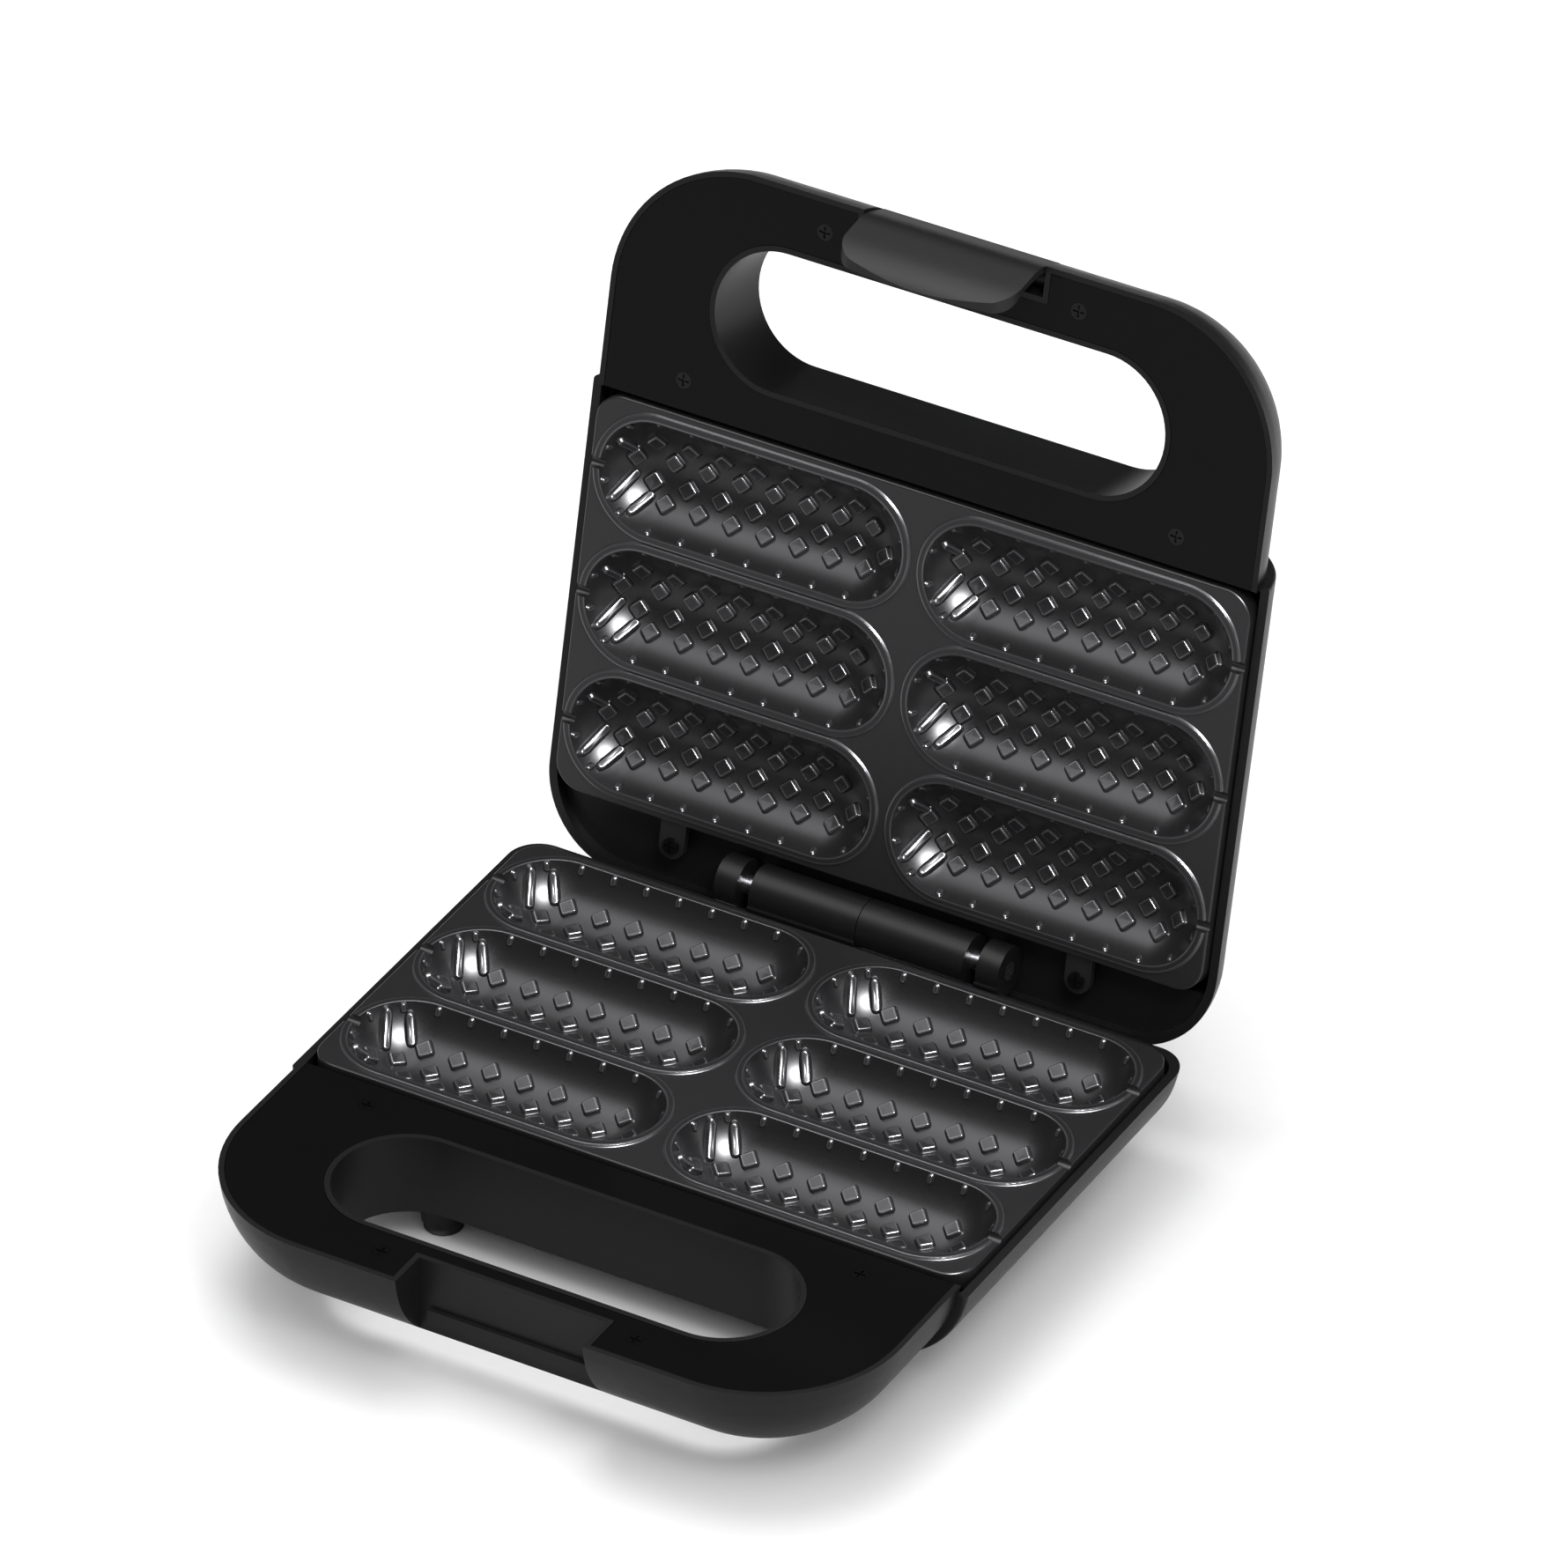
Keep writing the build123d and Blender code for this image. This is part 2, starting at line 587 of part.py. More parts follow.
def lower_shell():
    """Base housing: tub, handle, latch recess, legs, knuckles and cord inlet."""
    liner, pocket = front_pocket(RECESS_HALF_X, RECESS_REAR, HANDLE_DEPTH + WALL)
    boss, hole = inlet()
    shell = housing(LOWER_REAR, LOWER_REAR_CORNER) + [liner, boss] + legs() - [pocket, hole]
    catch_rear = RECESS_REAR + RIM_W
    shell += box(CATCH_LEFT, RECESS_HALF_X, CATCH_FRONT, catch_rear, -CATCH_BOTTOM, -CATCH_TOP)
    shell = shell - knuckle_room(1) + knuckles(-1, BASE_WEB) - hinge_bore()
    for x in (-POST_X, POST_X):
        shell -= rod(x, 0, -CUT, -TUB_DEPTH + SCREW_HEAD_H, SCREW_HEAD_R + SCREW_FIT)
        shell -= rod(x, 0, -CUT, 0, SCREW_R + SCREW_FIT)
    return shell


def upper_shell():
    """Lid housing before it is turned over: latch notch, rear shelf, knuckles, lamp holes."""
    liner, pocket = front_pocket(NOTCH_HALF_X, NOTCH_REAR, NOTCH_TOP)
    outer = tub_pod(TUB_TOP, TUB_DEPTH, 0, UPPER_REAR, UPPER_REAR_CORNER)
    shelf = box(-CUT, CUT, SHELF_FRONT, CUT, -SHELF_Z - WALL, -SHELF_Z) & outer
    boss_low = -SHELF_Z - PANEL_SCREW_LEN / 2
    bosses = [rod(x, LUG_Y, boss_low, -TUB_TOP - WALL / 2, BOSS_R) for x in (-LUG_X, LUG_X)]
    shell = housing(UPPER_REAR, UPPER_REAR_CORNER) + [liner, shelf] - pocket
    shell = shell - knuckle_room(-1) + knuckles(1, LID_WEB) + bosses - hinge_bore()
    shell -= [rod(x, LUG_Y, -SHELF_Z - PANEL_SCREW_LEN, 0, SCREW_R) for x in (-LUG_X, LUG_X)]
    shell -= [rod(x, LAMP_Y, -CUT, -HANDLE_TOP, LENS_R) for x in (-LAMP_X, LAMP_X)]
    return shell - latch_pin()


def lamp_lenses():
    """Two round lenses let into the lid's top."""
    low, high = -TUB_DEPTH - LENS_PROUD, -TUB_DEPTH + WALL
    lens = fillet(rod(0, 0, low, high, LENS_R).edges().group_by(Axis.Z)[0], LENS_PROUD / 2)
    return [Pos(x, LAMP_Y, 0) * lens for x in (-LAMP_X, LAMP_X)]


def lamps():
    """Glass lamps behind the lenses."""
    low = -TUB_DEPTH + WALL
    lamp = fillet(rod(0, 0, low, low + LAMP_H, LAMP_R).edges().group_by(Axis.Z)[-1], LAMP_R / 2)
    return [Pos(x, LAMP_Y, 0) * lamp for x in (-LAMP_X, LAMP_X)]


def latch_pin():
    """Pin the latch turns on, in the same turned-over frame as the lid's shell."""
    half_x = NOTCH_HALF_X + RIM_W
    return rod_x(-half_x, half_x, LATCH_PIN_Y, -LATCH_PIN_Z, LATCH_PIN_R)


def latch_front():
    """Front view of the latch: round lower corners and a bowed lower edge, as a block."""
    x, end = LATCH_HALF_X, LATCH_SIDE_END
    sides = Polyline((-x, end), (-x, LATCH_TOP), (x, LATCH_TOP), (x, end))
    bow = ThreePointArc((x, end), (0, LATCH_MID_END), (-x, end))
    plan = make_face(Plane.XZ * (sides + bow))
    plan = fillet(plan.vertices().sort_by(Axis.Z)[:2], LATCH_CORNER)
    return extrude(plan, CUT, both=True)


def latch():
    """Latch with the lid closed: bent pull with a nose, a barrel and a gap for the spring."""
    back = [(y + LATCH_T, z + (LATCH_T if z < LATCH_BEND_Z else 0)) for y, z in LATCH_FACE]
    back[-1] = (LATCH_FACE[-1][0], LATCH_FACE[-1][1] + LATCH_T)
    edges = [
        Spline(*LATCH_FACE), Line(LATCH_FACE[-1], back[-1]),
        Spline(*back[::-1]), Line(back[0], LATCH_FACE[0]),
    ]
    side = Plane.YZ.offset(-LATCH_HALF_X) * make_face(edges)
    pull = extrude(side, 2 * LATCH_HALF_X, dir=(1, 0, 0)) & latch_front()
    pull += rod_x(-LATCH_HALF_X, LATCH_HALF_X, LATCH_PIN_Y, LATCH_PIN_Z, LATCH_BARREL_R)
    inner = LATCH_PIN_Y - SPRING_COIL_R - SPRING_WIRE_R - SPRING_ROOM
    low, high = LATCH_PIN_Z - SPRING_LEG, LATCH_PIN_Z + SPRING_LEG
    pull -= box(-SPRING_HALF_X, SPRING_HALF_X, inner, CUT, low, high)
    radius = LATCH_PIN_R + LATCH_FIT
    return pull - rod_x(-CUT, CUT, LATCH_PIN_Y, LATCH_PIN_Z, radius)


def latch_spring():
    """Torsion spring round the latch pin with a leg down the back of the pull."""
    length = 2 * SPRING_HALF_X - 4 * SPRING_WIRE_R
    coil = Helix(length / SPRING_TURNS, length, SPRING_COIL_R)
    place = Pos(-length / 2, LATCH_PIN_Y, LATCH_PIN_Z) * Rot(0, 90, 0)
    wire_section = Plane(origin=coil @ 0, z_dir=coil % 0) * Circle(SPRING_WIRE_R)
    return place * sweep(wire_section, coil)


def turn_over(solids):
    """Flip lid pieces that were made open side up onto the closed lid."""
    return [mirror(solid, Plane.XY) for solid in as_list(solids)]


def as_list(solids):
    """One solid or a list of them, as a list."""
    return solids if isinstance(solids, list) else [solids]


def open_lid(solids):
    """Swing closed-lid pieces open about the hinge."""
    swing = Pos(0, HINGE_Y, 0) * Rot(-LID_OPEN, 0, 0) * Pos(0, -HINGE_Y, 0)
    return [swing * solid for solid in as_list(solids)]


def save(node, solids):
    """Move a node's solids onto the feet and write its file."""
    placed = [Pos(0, MOVE_Y, FOOT_BOTTOM) * solid for solid in as_list(solids)]
    export_step(placed[0] if len(placed) == 1 else Compound(children=placed), f"parts/{node}.step")


if __name__ == "__main__":
    os.makedirs("parts", exist_ok=True)
    base_nodes = {
        "lower_shell": lower_shell(),
        "lower_handle_panel": handle_panel(RECESS_HALF_X, RECESS_REAR),
        "lower_panel_screws": panel_screws(),
        "lower_plate": cooking_plate(),
        "lower_plate_screws": post_screws(),
        "lower_heater": heater(),
        "lower_reflector": reflector(),
        "lower_wiring": lower_wiring(),
        "thermostat": thermostat(),
        "thermal_fuse": thermal_fuse(),
        "terminal_block": terminal_block(),
        "cord_bush": cord_bush(),
        "cord_clamp": cord_clamp(),
        "rubber_feet": rubber_feet(),
        "hinge_pin": hinge_pin(),
    }
    lid_nodes = {
        "upper_shell": upper_shell(),
        "upper_handle_panel": handle_panel(NOTCH_HALF_X, NOTCH_REAR),
        "upper_panel_screws": panel_screws(),
        "upper_plate": upper_plate(),
        "upper_plate_screws": lug_screws(),
        "upper_heater": heater(),
        "upper_reflector": reflector(),
        "upper_wiring": upper_wiring(),
        "lamp_lenses": lamp_lenses(),
        "lamps": lamps(),
        "latch_pin": latch_pin(),
    }
    for node, solids in base_nodes.items():
        save(node, solids)
    for node, solids in lid_nodes.items():
        save(node, open_lid(turn_over(solids)))
    save("latch", open_lid(latch()))
    save("latch_spring", open_lid(latch_spring()))
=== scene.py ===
import json
from math import cos, pi, radians, sin, sqrt

import bpy
import numpy as np
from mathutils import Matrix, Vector


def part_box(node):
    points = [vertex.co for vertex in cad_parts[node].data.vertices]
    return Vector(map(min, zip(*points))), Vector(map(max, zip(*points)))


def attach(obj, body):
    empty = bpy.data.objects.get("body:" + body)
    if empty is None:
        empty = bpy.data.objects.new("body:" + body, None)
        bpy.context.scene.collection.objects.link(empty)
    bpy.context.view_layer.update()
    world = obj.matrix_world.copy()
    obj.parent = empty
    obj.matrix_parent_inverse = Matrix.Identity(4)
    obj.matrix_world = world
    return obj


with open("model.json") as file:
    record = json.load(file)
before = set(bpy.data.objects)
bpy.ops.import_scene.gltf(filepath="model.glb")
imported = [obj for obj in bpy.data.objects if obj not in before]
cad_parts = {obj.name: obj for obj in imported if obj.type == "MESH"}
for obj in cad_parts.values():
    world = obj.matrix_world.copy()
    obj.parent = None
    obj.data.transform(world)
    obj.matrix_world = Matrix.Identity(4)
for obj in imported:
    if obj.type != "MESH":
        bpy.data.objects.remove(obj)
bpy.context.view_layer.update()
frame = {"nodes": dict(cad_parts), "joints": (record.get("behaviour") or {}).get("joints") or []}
MM = 0.001


# ---------------------------------------------------------------- the frame's own sizes
def joint(name):
    """The record's joint of that name."""
    return next(j for j in frame["joints"] if j["name"] == name)


HINGE = Vector(joint("lid_hinge")["pos_m"])
LID_OPEN = radians(joint("lid_hinge")["range_deg"][1])
LOW_PLATE, HIGH_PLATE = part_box("lower_plate")
PLATE_X, PLATE_Y, _ = (HIGH_PLATE - LOW_PLATE) / MM
PLATE_CENTRE = Vector(((LOW_PLATE.x + HIGH_PLATE.x) / 2, (LOW_PLATE.y + HIGH_PLATE.y) / 2, HINGE.z))

# ---------------------------------------------------------------- cavities and their detail, mm
COLUMN_SPREAD = 0.2
CAVITY_GAP = 7.8
PLATE_EDGES = 3.8
ROWS = 3
COLUMN_PITCH = PLATE_X / 2 + COLUMN_SPREAD
ROW_PITCH = (PLATE_Y - PLATE_EDGES) / ROWS
CAVITY_LEN = COLUMN_PITCH - CAVITY_GAP
CAVITY_HALF_Y = 18.4
CAVITY_DEPTH = 14.0
DOME_X = CAVITY_LEN / 2 - CAVITY_HALF_Y
RISE = (CAVITY_HALF_Y**2 - CAVITY_DEPTH**2) / (2 * CAVITY_DEPTH)
SPHERE_R = RISE + CAVITY_DEPTH
PERIMETER = 2 * pi * CAVITY_HALF_Y + 4 * DOME_X
STICK_HALF = 1.8

STUD_HALF = 3.6
STUD_HIGH = 1.5
STUD_PITCH = 11.65
STUD_CORNER = 0.9
STUD_TURN = 45.0
NUB_HALF = (0.85, 1.5)
NUB_HIGH = 0.75
NUB_DEPTH = 1.3
NUB_INSET = 0.35
FINGER_HALF = 1.35
FINGER_HIGH = 1.5
BEAD_TOP = -0.12
BEAD_STEPS = 150
PAD_AROUND = 28
PAD_TOP = -0.22
LEAST_SQUARE = 1e-6


# ---------------------------------------------------------------- places on a plate
def to_base(points):
    """Plate millimetres (x, y, height below the parting plane as a negative z) to the base's metres."""
    return points * MM + np.array(PLATE_CENTRE)


def to_lid(points):
    """The same plate turned over onto the lid and swung open about the hinge, in metres."""
    closed = to_base(points * np.array([1.0, 1.0, -1.0])) - np.array(HINGE)
    c, s = cos(-LID_OPEN), sin(-LID_OPEN)
    turn = np.array([[1, 0, 0], [0, c, -s], [0, s, c]])
    return closed @ turn.T + np.array(HINGE)


def cavity_centres():
    """Centres of the six cavities in plate millimetres."""
    columns = (-COLUMN_PITCH / 2, COLUMN_PITCH / 2)
    return np.array([(x, row * ROW_PITCH, 0.0) for x in columns for row in (-1, 0, 1)])


def cavity_floor(x, y):
    """Height of a cavity's wall at an offset from its centre, and the outward normal there.

    The cavity is a capsule: a sphere of SPHERE_R swept along x between its two dome centres, with its
    axis RISE above the parting plane. The height is RISE - sqrt(R^2 - d^2), d the distance to the axis.
    """
    along = x - np.clip(x, -DOME_X, DOME_X)
    drop = np.sqrt(np.maximum(SPHERE_R**2 - along**2 - y**2, LEAST_SQUARE))
    normal = np.stack([-along, -y, drop], axis=-1) / SPHERE_R
    return RISE - drop, normal


# ---------------------------------------------------------------- meshes
def mesh_object(name, vertices, faces, edge, body, material):
    """A smooth-shaded mesh in metres that rides on a CAD body; edge is 1 where its edges get a painted
    highlight, else 0.
    """
    mesh = bpy.data.meshes.new(name)
    mesh.from_pydata(vertices.tolist(), [], faces.tolist())
    mesh.update()
    mesh.polygons.foreach_set("use_smooth", np.ones(len(mesh.polygons), bool))
    mesh.attributes.new("edge", "FLOAT", "POINT").data.foreach_set("value", np.asarray(edge, float))
    piece = bpy.data.objects.new(name, mesh)
    bpy.context.scene.collection.objects.link(piece)
    mesh.materials.append(material)
    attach(piece, body)
    return piece


def join(parts):
    """Several (points, faces) meshes as one: each part's faces count on from the points before it."""
    starts = np.cumsum([0] + [len(points) for points, _ in parts[:-1]])
    faces = [part_faces + start for (_, part_faces), start in zip(parts, starts)]
    return np.concatenate([points for points, _ in parts]), np.concatenate(faces)


def ring_faces(rings, around):
    """Quads between consecutive closed rings that have the same number of points."""
    ring, step = np.meshgrid(np.arange(rings - 1), np.arange(around), indexing="ij")
    after = (step + 1) % around
    a, b = ring * around + step, ring * around + after
    return np.stack([a, b, b + around, a + around], axis=-1).reshape(-1, 4)


# A pad's profile: how far in from its outline, mm, and share of its height, from foot to crown. The last
# ring lies further in than any pad reaches, so it closes the crown at the middle.
PAD_PROFILE = (
    (-0.6, -0.2), (-0.3, 0.04), (-0.05, 0.2), (0.1, 0.7), (0.25, 0.92), (0.5, 1.0), (0.8, 1.0), (99.0, 1.0),
)
# Share of the painted highlight, a paler colour along the crown's edge, on each of those rings.
PAD_EDGE_HIGHLIGHT = (0.0, 0.0, 0.0, 0.5, 1.0, 1.0, 0.0, 0.0)


def pad_points(half_u, half_v, corner):
    """A pad's rings as offsets u and v in the wall and a share of its height.

    The outline is a rectangle with round corners. A point is its corner's centre plus a radius along the
    point's angle. The radius is the corner's less the ring's inset, and an inset past the corner moves
    the centre in as well. Neither goes below zero.
    """
    angle = np.linspace(0, 2 * pi, PAD_AROUND, endpoint=False) + pi / PAD_AROUND
    way = np.stack([np.cos(angle), np.sin(angle)], axis=-1)
    inset, high = np.array(PAD_PROFILE).T
    radius = np.maximum(corner - inset, 0)[:, None, None]
    beyond = np.maximum(inset - corner, 0)[:, None, None]
    centre = np.maximum(np.array([half_u, half_v]) - corner - beyond, 0) * np.sign(way)
    ring = centre + radius * way
    return ring[..., 0].ravel(), ring[..., 1].ravel(), np.repeat(high, PAD_AROUND)


def pads(places, half_u, half_v, high, corner, turn):
    """Raised pads on a cavity's wall, as points and faces.

    places are (x, y) offsets from a cavity's centre. A pad's two axes lie in the wall: u along x turned
    by turn degrees, v across it. A point is the place plus u and v along them, dropped onto the wall,
    plus its height along the wall's normal, and none is higher than PAD_TOP.
    """
    places = np.array(places, float)
    turn = np.radians(np.broadcast_to(turn, len(places)))
    u, v, rise = pad_points(half_u, half_v, corner)
    _, normal = cavity_floor(places[:, 0], places[:, 1])
    heading = np.stack([np.cos(turn), np.sin(turn), np.zeros(len(places))], axis=-1)
    along = heading - normal * np.sum(heading * normal, axis=-1, keepdims=True)
    along /= np.linalg.norm(along, axis=-1, keepdims=True)
    across = np.cross(normal, along)
    flat = u[None, :, None] * along[:, None, :] + v[None, :, None] * across[:, None, :]
    x = places[:, None, 0] + flat[:, :, 0]
    y = places[:, None, 1] + flat[:, :, 1]
    z, wall_normal = cavity_floor(x, y)
    wall = np.stack([x, y, z], axis=-1) + wall_normal * (rise * high)[None, :, None]
    wall[..., 2] = np.minimum(wall[..., 2], PAD_TOP)
    ring = ring_faces(len(PAD_PROFILE), PAD_AROUND)
    faces = ring[None] + (np.arange(len(places)) * len(u))[:, None, None]
    return wall.reshape(-1, 3), faces.reshape(-1, 4)


def over_all_cavities(points, faces):
    """One cavity's detail repeated at every centre."""
    return join([(points + centre, faces) for centre in cavity_centres()])


# Stud rows of each plate: distance from the cavity's middle, first and last step of STUD_PITCH.
STUD_ROWS = {
    "lower_plate": ((9.6, -3, 3), (2.8, -3.5, 3.5), (-3.4, -4, 3), (-9.6, -3.5, 2.5)),
    "upper_plate": ((11.1, -3, 3), (5.6, -3.5, 3.5), (-1.8, -4, 3), (-8.0, -3.5, 2.5)),
}
# How far each plate's studs are shifted along their cavity.
STUD_SHIFT = {"lower_plate": 0.4, "upper_plate": 1.2}


def stud_places(plate):
    """Staggered grid of studs along a cavity of that plate."""
    rows = [(y, np.arange(first, last + 1)) for y, first, last in STUD_ROWS[plate]]
    return [(step * STUD_PITCH + STUD_SHIFT[plate], y) for y, steps in rows for step in steps]


def stadium(distance, offset):
    """A point on a stadium outline that is offset out from the cavity's rim.

    The walk starts at the tip of the -x end and goes through +y: a quarter turn, the far straight, a
    half turn, the near straight and the last quarter. Returns x, y and the outward direction.
    """
    radius = CAVITY_HALF_Y
    quarter, straight = radius * pi / 2, 2 * DOME_X
    marks = np.cumsum([0, quarter, straight, 2 * quarter, straight, quarter])
    d = np.mod(distance, marks[-1])
    before = [d < mark for mark in marks[1:-1]]
    angle = np.select(
        before,
        [pi - d / radius, pi / 2, pi / 2 - (d - marks[2]) / radius, -pi / 2],
        -pi / 2 - (d - marks[4]) / radius,
    )
    middle = np.select(
        before,
        [-DOME_X, -DOME_X + (d - marks[1]), DOME_X, DOME_X - (d - marks[3])],
        -DOME_X,
    )
    out = np.stack([np.cos(angle), np.sin(angle)], axis=-1)
    return middle + (radius + offset) * out[..., 0], (radius + offset) * out[..., 1], out


def nub_places():
    """Nubs just under the rim: evenly round it, about one every stud pitch.

    They stand NUB_DEPTH down a wall that leans in by RISE in every SPHERE_R, and NUB_INSET inside it.
    """
    count = round(PERIMETER / STUD_PITCH)
    distance = (np.arange(count) + 0.5) * PERIMETER / count
    x, y, out = stadium(distance, -NUB_DEPTH * RISE / SPHERE_R - NUB_INSET)
    turn = np.degrees(np.arctan2(out[:, 1], out[:, 0])) + 90
    return list(zip(x, y)), turn


# Finger ribs at the left end, as (start, end) offsets from the cavity's centre.
FINGERS = (((-49.9, 10.6), (-43.2, 3.4)), ((-42.9, 15.2), (-38.8, 8.6)), ((-49.6, -7.4), (-45.4, -4.6)))


def finger_places():
    """Middle, half length and heading of each finger rib."""
    ends = np.array(FINGERS)
    middle = ends.mean(axis=1)
    way = ends[:, 1] - ends[:, 0]
    return middle, np.hypot(way[:, 0], way[:, 1]) / 2, np.degrees(np.arctan2(way[:, 1], way[:, 0]))


# A bead's profile: distance out from the cavity's rim and height over BEAD_TOP, mm, from the inside out.
BEAD_PROFILE = (
    (-0.35, -1.6), (-0.05, -0.6), (0.05, -0.18), (0.25, 0.0), (0.8, 0.0),
    (1.8, 0.0), (2.3, 0.0), (2.5, -0.18), (2.6, -0.6), (2.95, -0.8),
)
# Share of the painted highlight, a paler colour along the bead's edges, at each of those points.
BEAD_EDGE_HIGHLIGHT = (0.0, 0.4, 1.0, 1.0, 0.0, 0.0, 1.0, 1.0, 0.3, 0.0)


def bead(side):
    """Rounded bead round the rim of a cavity on the -x (-1) or +x (1) side of its plate.

    BEAD_PROFILE is carried along the stadium outline. It starts and ends half a groove from the tip, so
    the bead is open where the stick's groove leaves the cavity, and it is half turned on the +x side.
    """
    span = np.linspace(STICK_HALF, PERIMETER - STICK_HALF, BEAD_STEPS)
    out, high = np.array(BEAD_PROFILE).T
    x, y, _ = stadium(span[:, None] + 0 * out, out[None, :])
    z = np.broadcast_to(high + BEAD_TOP, x.shape)
    points = np.stack([x * -side, y * -side, z], axis=-1).reshape(-1, 3)
    step, place = np.meshgrid(np.arange(BEAD_STEPS - 1), np.arange(len(out) - 1), indexing="ij")
    here = step * len(out) + place
    after = here + len(out)
    return points, np.stack([after, after + 1, here + 1, here], axis=-1).reshape(-1, 4)


def beads():
    """The beads of a plate, each open at its outer end."""
    turned = [(bead(np.sign(centre[0])), centre) for centre in cavity_centres()]
    return join([(points + centre, faces) for (points, faces), centre in turned])


# ---------------------------------------------------------------- materials
def linear(hex_colour):
    """An sRGB hex colour as linear RGBA."""
    channels = [int(hex_colour[i : i + 2], 16) / 255 for i in (1, 3, 5)]
    return [c / 12.92 if c <= 0.04045 else ((c + 0.055) / 1.055) ** 2.4 for c in channels] + [1.0]


# Where the Mix node keeps its two colours, its two numbers and the result of each.
COLOUR_A, COLOUR_B, COLOUR_OUT = 6, 7, 2
NUMBER_A, NUMBER_B, NUMBER_OUT = 2, 3, 0
# The noise's own detail, and the part of its output that the roughness runs over.
GRAIN = {"Detail": 3.0, "Roughness": 0.6}
GRAIN_SPAN = {"From Min": 0.3, "From Max": 0.7}


def add(tree, kind, settings=None, links=None):
    """Adds a node, sets its properties and sockets, by name or number, and links its inputs."""
    node = tree.nodes.new(kind)
    for key, value in (settings or {}).items():
        if isinstance(key, int) or key in node.inputs:
            node.inputs[key].default_value = value
        else:
            setattr(node, key, value)
    for key, socket in (links or {}).items():
        tree.links.new(socket, node.inputs[key])
    return node


def finish_of(name, hex_low, hex_high, rough, grain_mm, bump_mm, edge_highlight=None, **shader):
    """A material with a fine grain in its colour, roughness and height.

    The grain mixes the two colours. rough is the range of roughness across it, grain_mm the size of its
    features and bump_mm how deep they are. The last argument is a paler colour, a painted highlight, and a
    lower roughness, used where a piece's edge attribute is 1. Everything else is set on the shader's own
    sockets.
    """
    material = bpy.data.materials.new(name)
    material.use_nodes = True
    tree = material.node_tree
    bsdf = tree.nodes["Principled BSDF"]
    for key, value in shader.items():
        bsdf.inputs[key.replace("_", " ")].default_value = value
    place = add(tree, "ShaderNodeTexCoord").outputs["Object"]
    noise = {"Scale": 1 / (grain_mm * MM), **GRAIN}
    grain = add(tree, "ShaderNodeTexNoise", noise, {"Vector": place}).outputs["Fac"]
    hues = {"data_type": "RGBA", COLOUR_A: linear(hex_low), COLOUR_B: linear(hex_high)}
    colour = add(tree, "ShaderNodeMix", hues, {"Factor": grain}).outputs[COLOUR_OUT]
    span = {"To Min": rough[0], "To Max": rough[1], **GRAIN_SPAN}
    roughness = add(tree, "ShaderNodeMapRange", span, {"Value": grain}).outputs["Result"]
    if edge_highlight:
        # The edge attribute mixes in a paler colour, a painted highlight along the edges, and a lower
        # roughness.
        highlit = add(tree, "ShaderNodeAttribute", {"attribute_name": "edge"}).outputs["Fac"]
        highlight_hue = {"data_type": "RGBA", COLOUR_B: linear(edge_highlight[0])}
        colour = add(tree, "ShaderNodeMix", highlight_hue, {"Factor": highlit, COLOUR_A: colour}).outputs[COLOUR_OUT]
        smooth = {"data_type": "FLOAT", NUMBER_B: edge_highlight[1]}
        mixed = add(tree, "ShaderNodeMix", smooth, {"Factor": highlit, NUMBER_A: roughness})
        roughness = mixed.outputs[NUMBER_OUT]
    tree.links.new(colour, bsdf.inputs["Base Color"])
    tree.links.new(roughness, bsdf.inputs["Roughness"])
    if bump_mm:
        depth = {"Strength": 1.0, "Distance": bump_mm * MM}
        relief = add(tree, "ShaderNodeBump", depth, {"Height": grain})
        tree.links.new(relief.outputs["Normal"], bsdf.inputs["Normal"])
    return material


# Polypropylene moulded against a spark-eroded tool: a soft satin sheen broken up by a fine grain, which
# is drawn at half a millimetre, coarser than the real one, so that it shows.
TEXTURED_PP = finish_of(
    "spark_textured_polypropylene", "#101011", "#141415", (0.36, 0.44), 0.5, 0.012,
    Specular_IOR_Level=0.15,
)
# ABS moulded against a polished tool: near-black with a sharp, mirror-like reflection that drifts slowly.
POLISHED_ABS = finish_of(
    "polished_abs", "#101011", "#121213", (0.07, 0.10), 40.0, 0.0,
    Specular_IOR_Level=0.05,
)
# Die-cast aluminium sprayed with a non-stick coating: dark grey with a broad soft highlight and the
# spray's fine droplets; its edges are smoother and painted paler, a painted highlight along them.
COATED_CASTING = finish_of(
    "sprayed_nonstick_coating", "#2a2a2b", "#303032", (0.31, 0.37), 0.6, 0.004,
    edge_highlight=("#5e5e60", 0.25), Metallic=0.5, Specular_IOR_Level=0.3,
)
# Glass-filled nylon, moulded: a little paler than the shells, with a wide dull sheen.
MOULDED_NYLON = finish_of(
    "moulded_nylon", "#161617", "#1a1a1b", (0.42, 0.5), 0.5, 0.01,
    Specular_IOR_Level=0.2,
)
# Steel screws with a thick black oxide: near-black, with a weak glint on the head's edge.
BLACKED_STEEL = finish_of(
    "blackened_screw_steel", "#0e0e0f", "#101011", (0.12, 0.2), 0.4, 0.0,
    Specular_IOR_Level=0.15,
)
# Ground steel rod: bright, with a fine grain.
GROUND_STEEL = finish_of("ground_steel_rod", "#7d7d80", "#8c8c90", (0.2, 0.3), 0.3, 0.003, Metallic=1.0)
# Annealed heater tube: straw-grey steel with a dull oxide.
ANNEALED_STEEL = finish_of(
    "annealed_heater_steel", "#5e5a54", "#6e6862", (0.4, 0.55), 1.5, 0.01,
    Metallic=0.8,
)
# Rolled aluminium sheet, left bright: a slightly blurred mirror.
ROLLED_SHEET = finish_of("rolled_aluminium_sheet", "#c4c5c8", "#d0d1d4", (0.2, 0.3), 0.8, 0.004, Metallic=1.0)
# Moulded natural rubber: matte black that shows dust.
MOULDED_RUBBER = finish_of("moulded_rubber", "#141414", "#1a1a1a", (0.75, 0.85), 0.8, 0.02)
